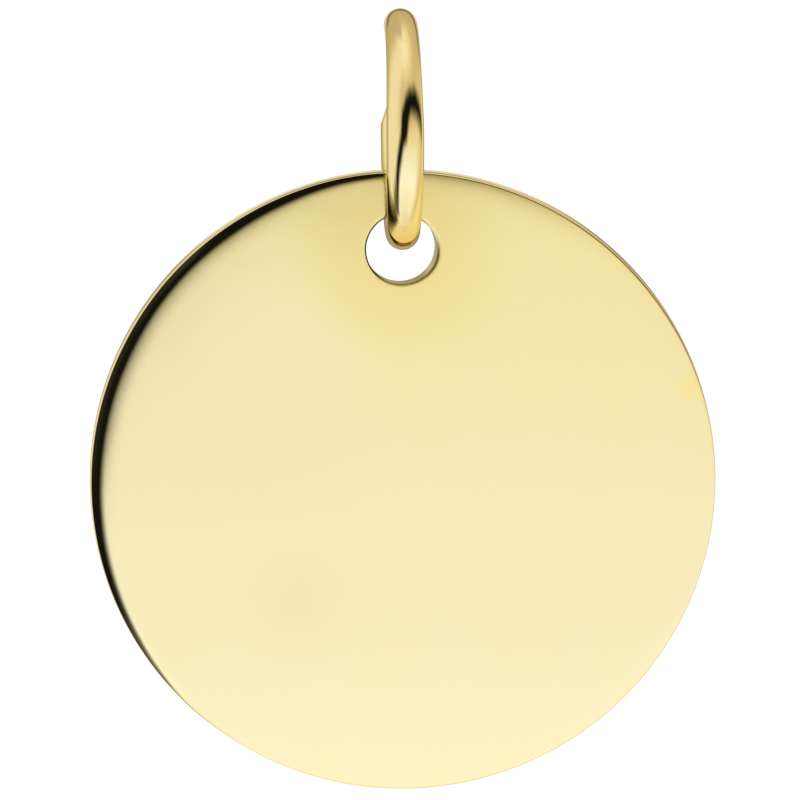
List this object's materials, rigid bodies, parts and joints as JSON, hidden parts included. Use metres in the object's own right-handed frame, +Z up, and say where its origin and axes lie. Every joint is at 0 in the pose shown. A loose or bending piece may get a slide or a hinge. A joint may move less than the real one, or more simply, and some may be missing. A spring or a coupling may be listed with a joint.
{
  "type": "disc pendant",
  "caption": "Plain polished round disc pendant with a hole near its rim, hanging free from a round-wire jump ring that takes a chain.",
  "frame": {"origin": "where a chain bears on the inside of the jump ring, at the top of its eye", "axes": "+Z up, -Y out of the disc's front face, +X along a chain that runs through the ring"},
  "size_m": [0.016, 0.0062, 0.0201],
  "materials": {
    "disc_gold": "mirror-polished pale yellow gold",
    "ring_gold": "polished pale yellow gold wire"
  },
  "bodies": {
    "jump_ring": {"jump_ring": "ring_gold"},
    "disc": {"disc": "disc_gold"}
  },
  "joints": [
    {"name": "disc_swing", "type": "hinge", "parent": "jump_ring", "child": "disc", "pos_m": [0, 0, -0.00484], "axis": [0, 1, 0], "range_deg": [-75, 75]}
  ]
}
